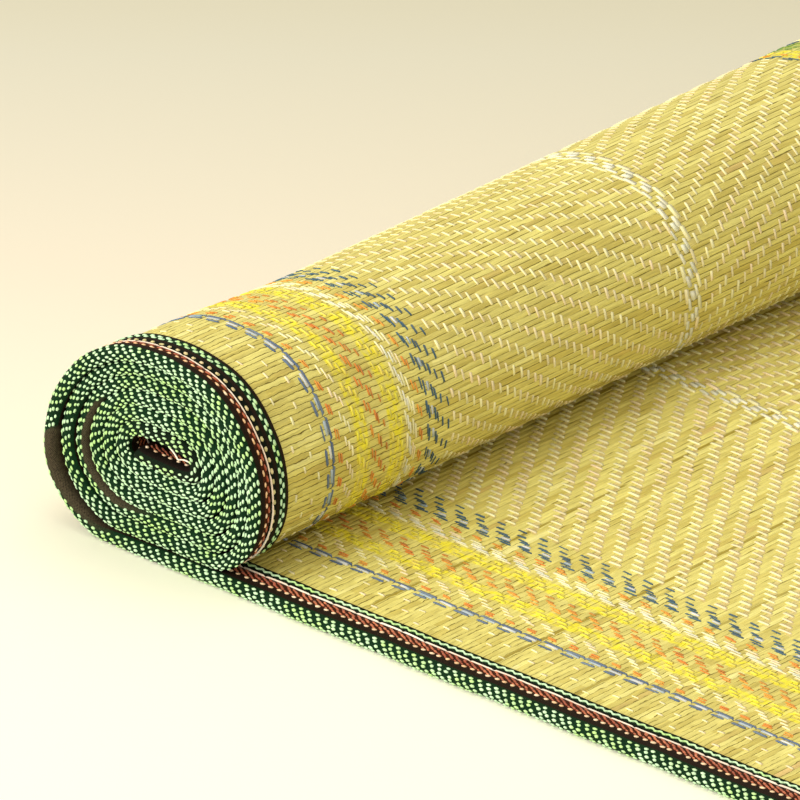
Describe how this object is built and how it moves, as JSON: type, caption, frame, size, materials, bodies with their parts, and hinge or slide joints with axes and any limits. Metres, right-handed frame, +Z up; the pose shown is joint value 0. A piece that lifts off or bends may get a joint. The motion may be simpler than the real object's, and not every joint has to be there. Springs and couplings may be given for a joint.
{
  "type": "woven straw mat",
  "caption": "Woven straw floor mat with cloth tape bound over its long edges, partly rolled up, with the rest lying flat.",
  "frame": {"origin": "on the surface that the mat lies on, under the middle of its box", "axes": "+Z up; +X along the mat, from the roll to the free end of its flat part; Y along the straws and the roll's axis"},
  "size_m": [0.845, 0.7034, 0.0737],
  "materials": {
    "straw": "woven straw with coloured warp threads, satin",
    "binding": "woven cloth tape, dull"
  },
  "bodies": {
    "root": {"mat_panel": "straw", "binding_near": "binding", "binding_far": "binding"}
  },
  "joints": []
}
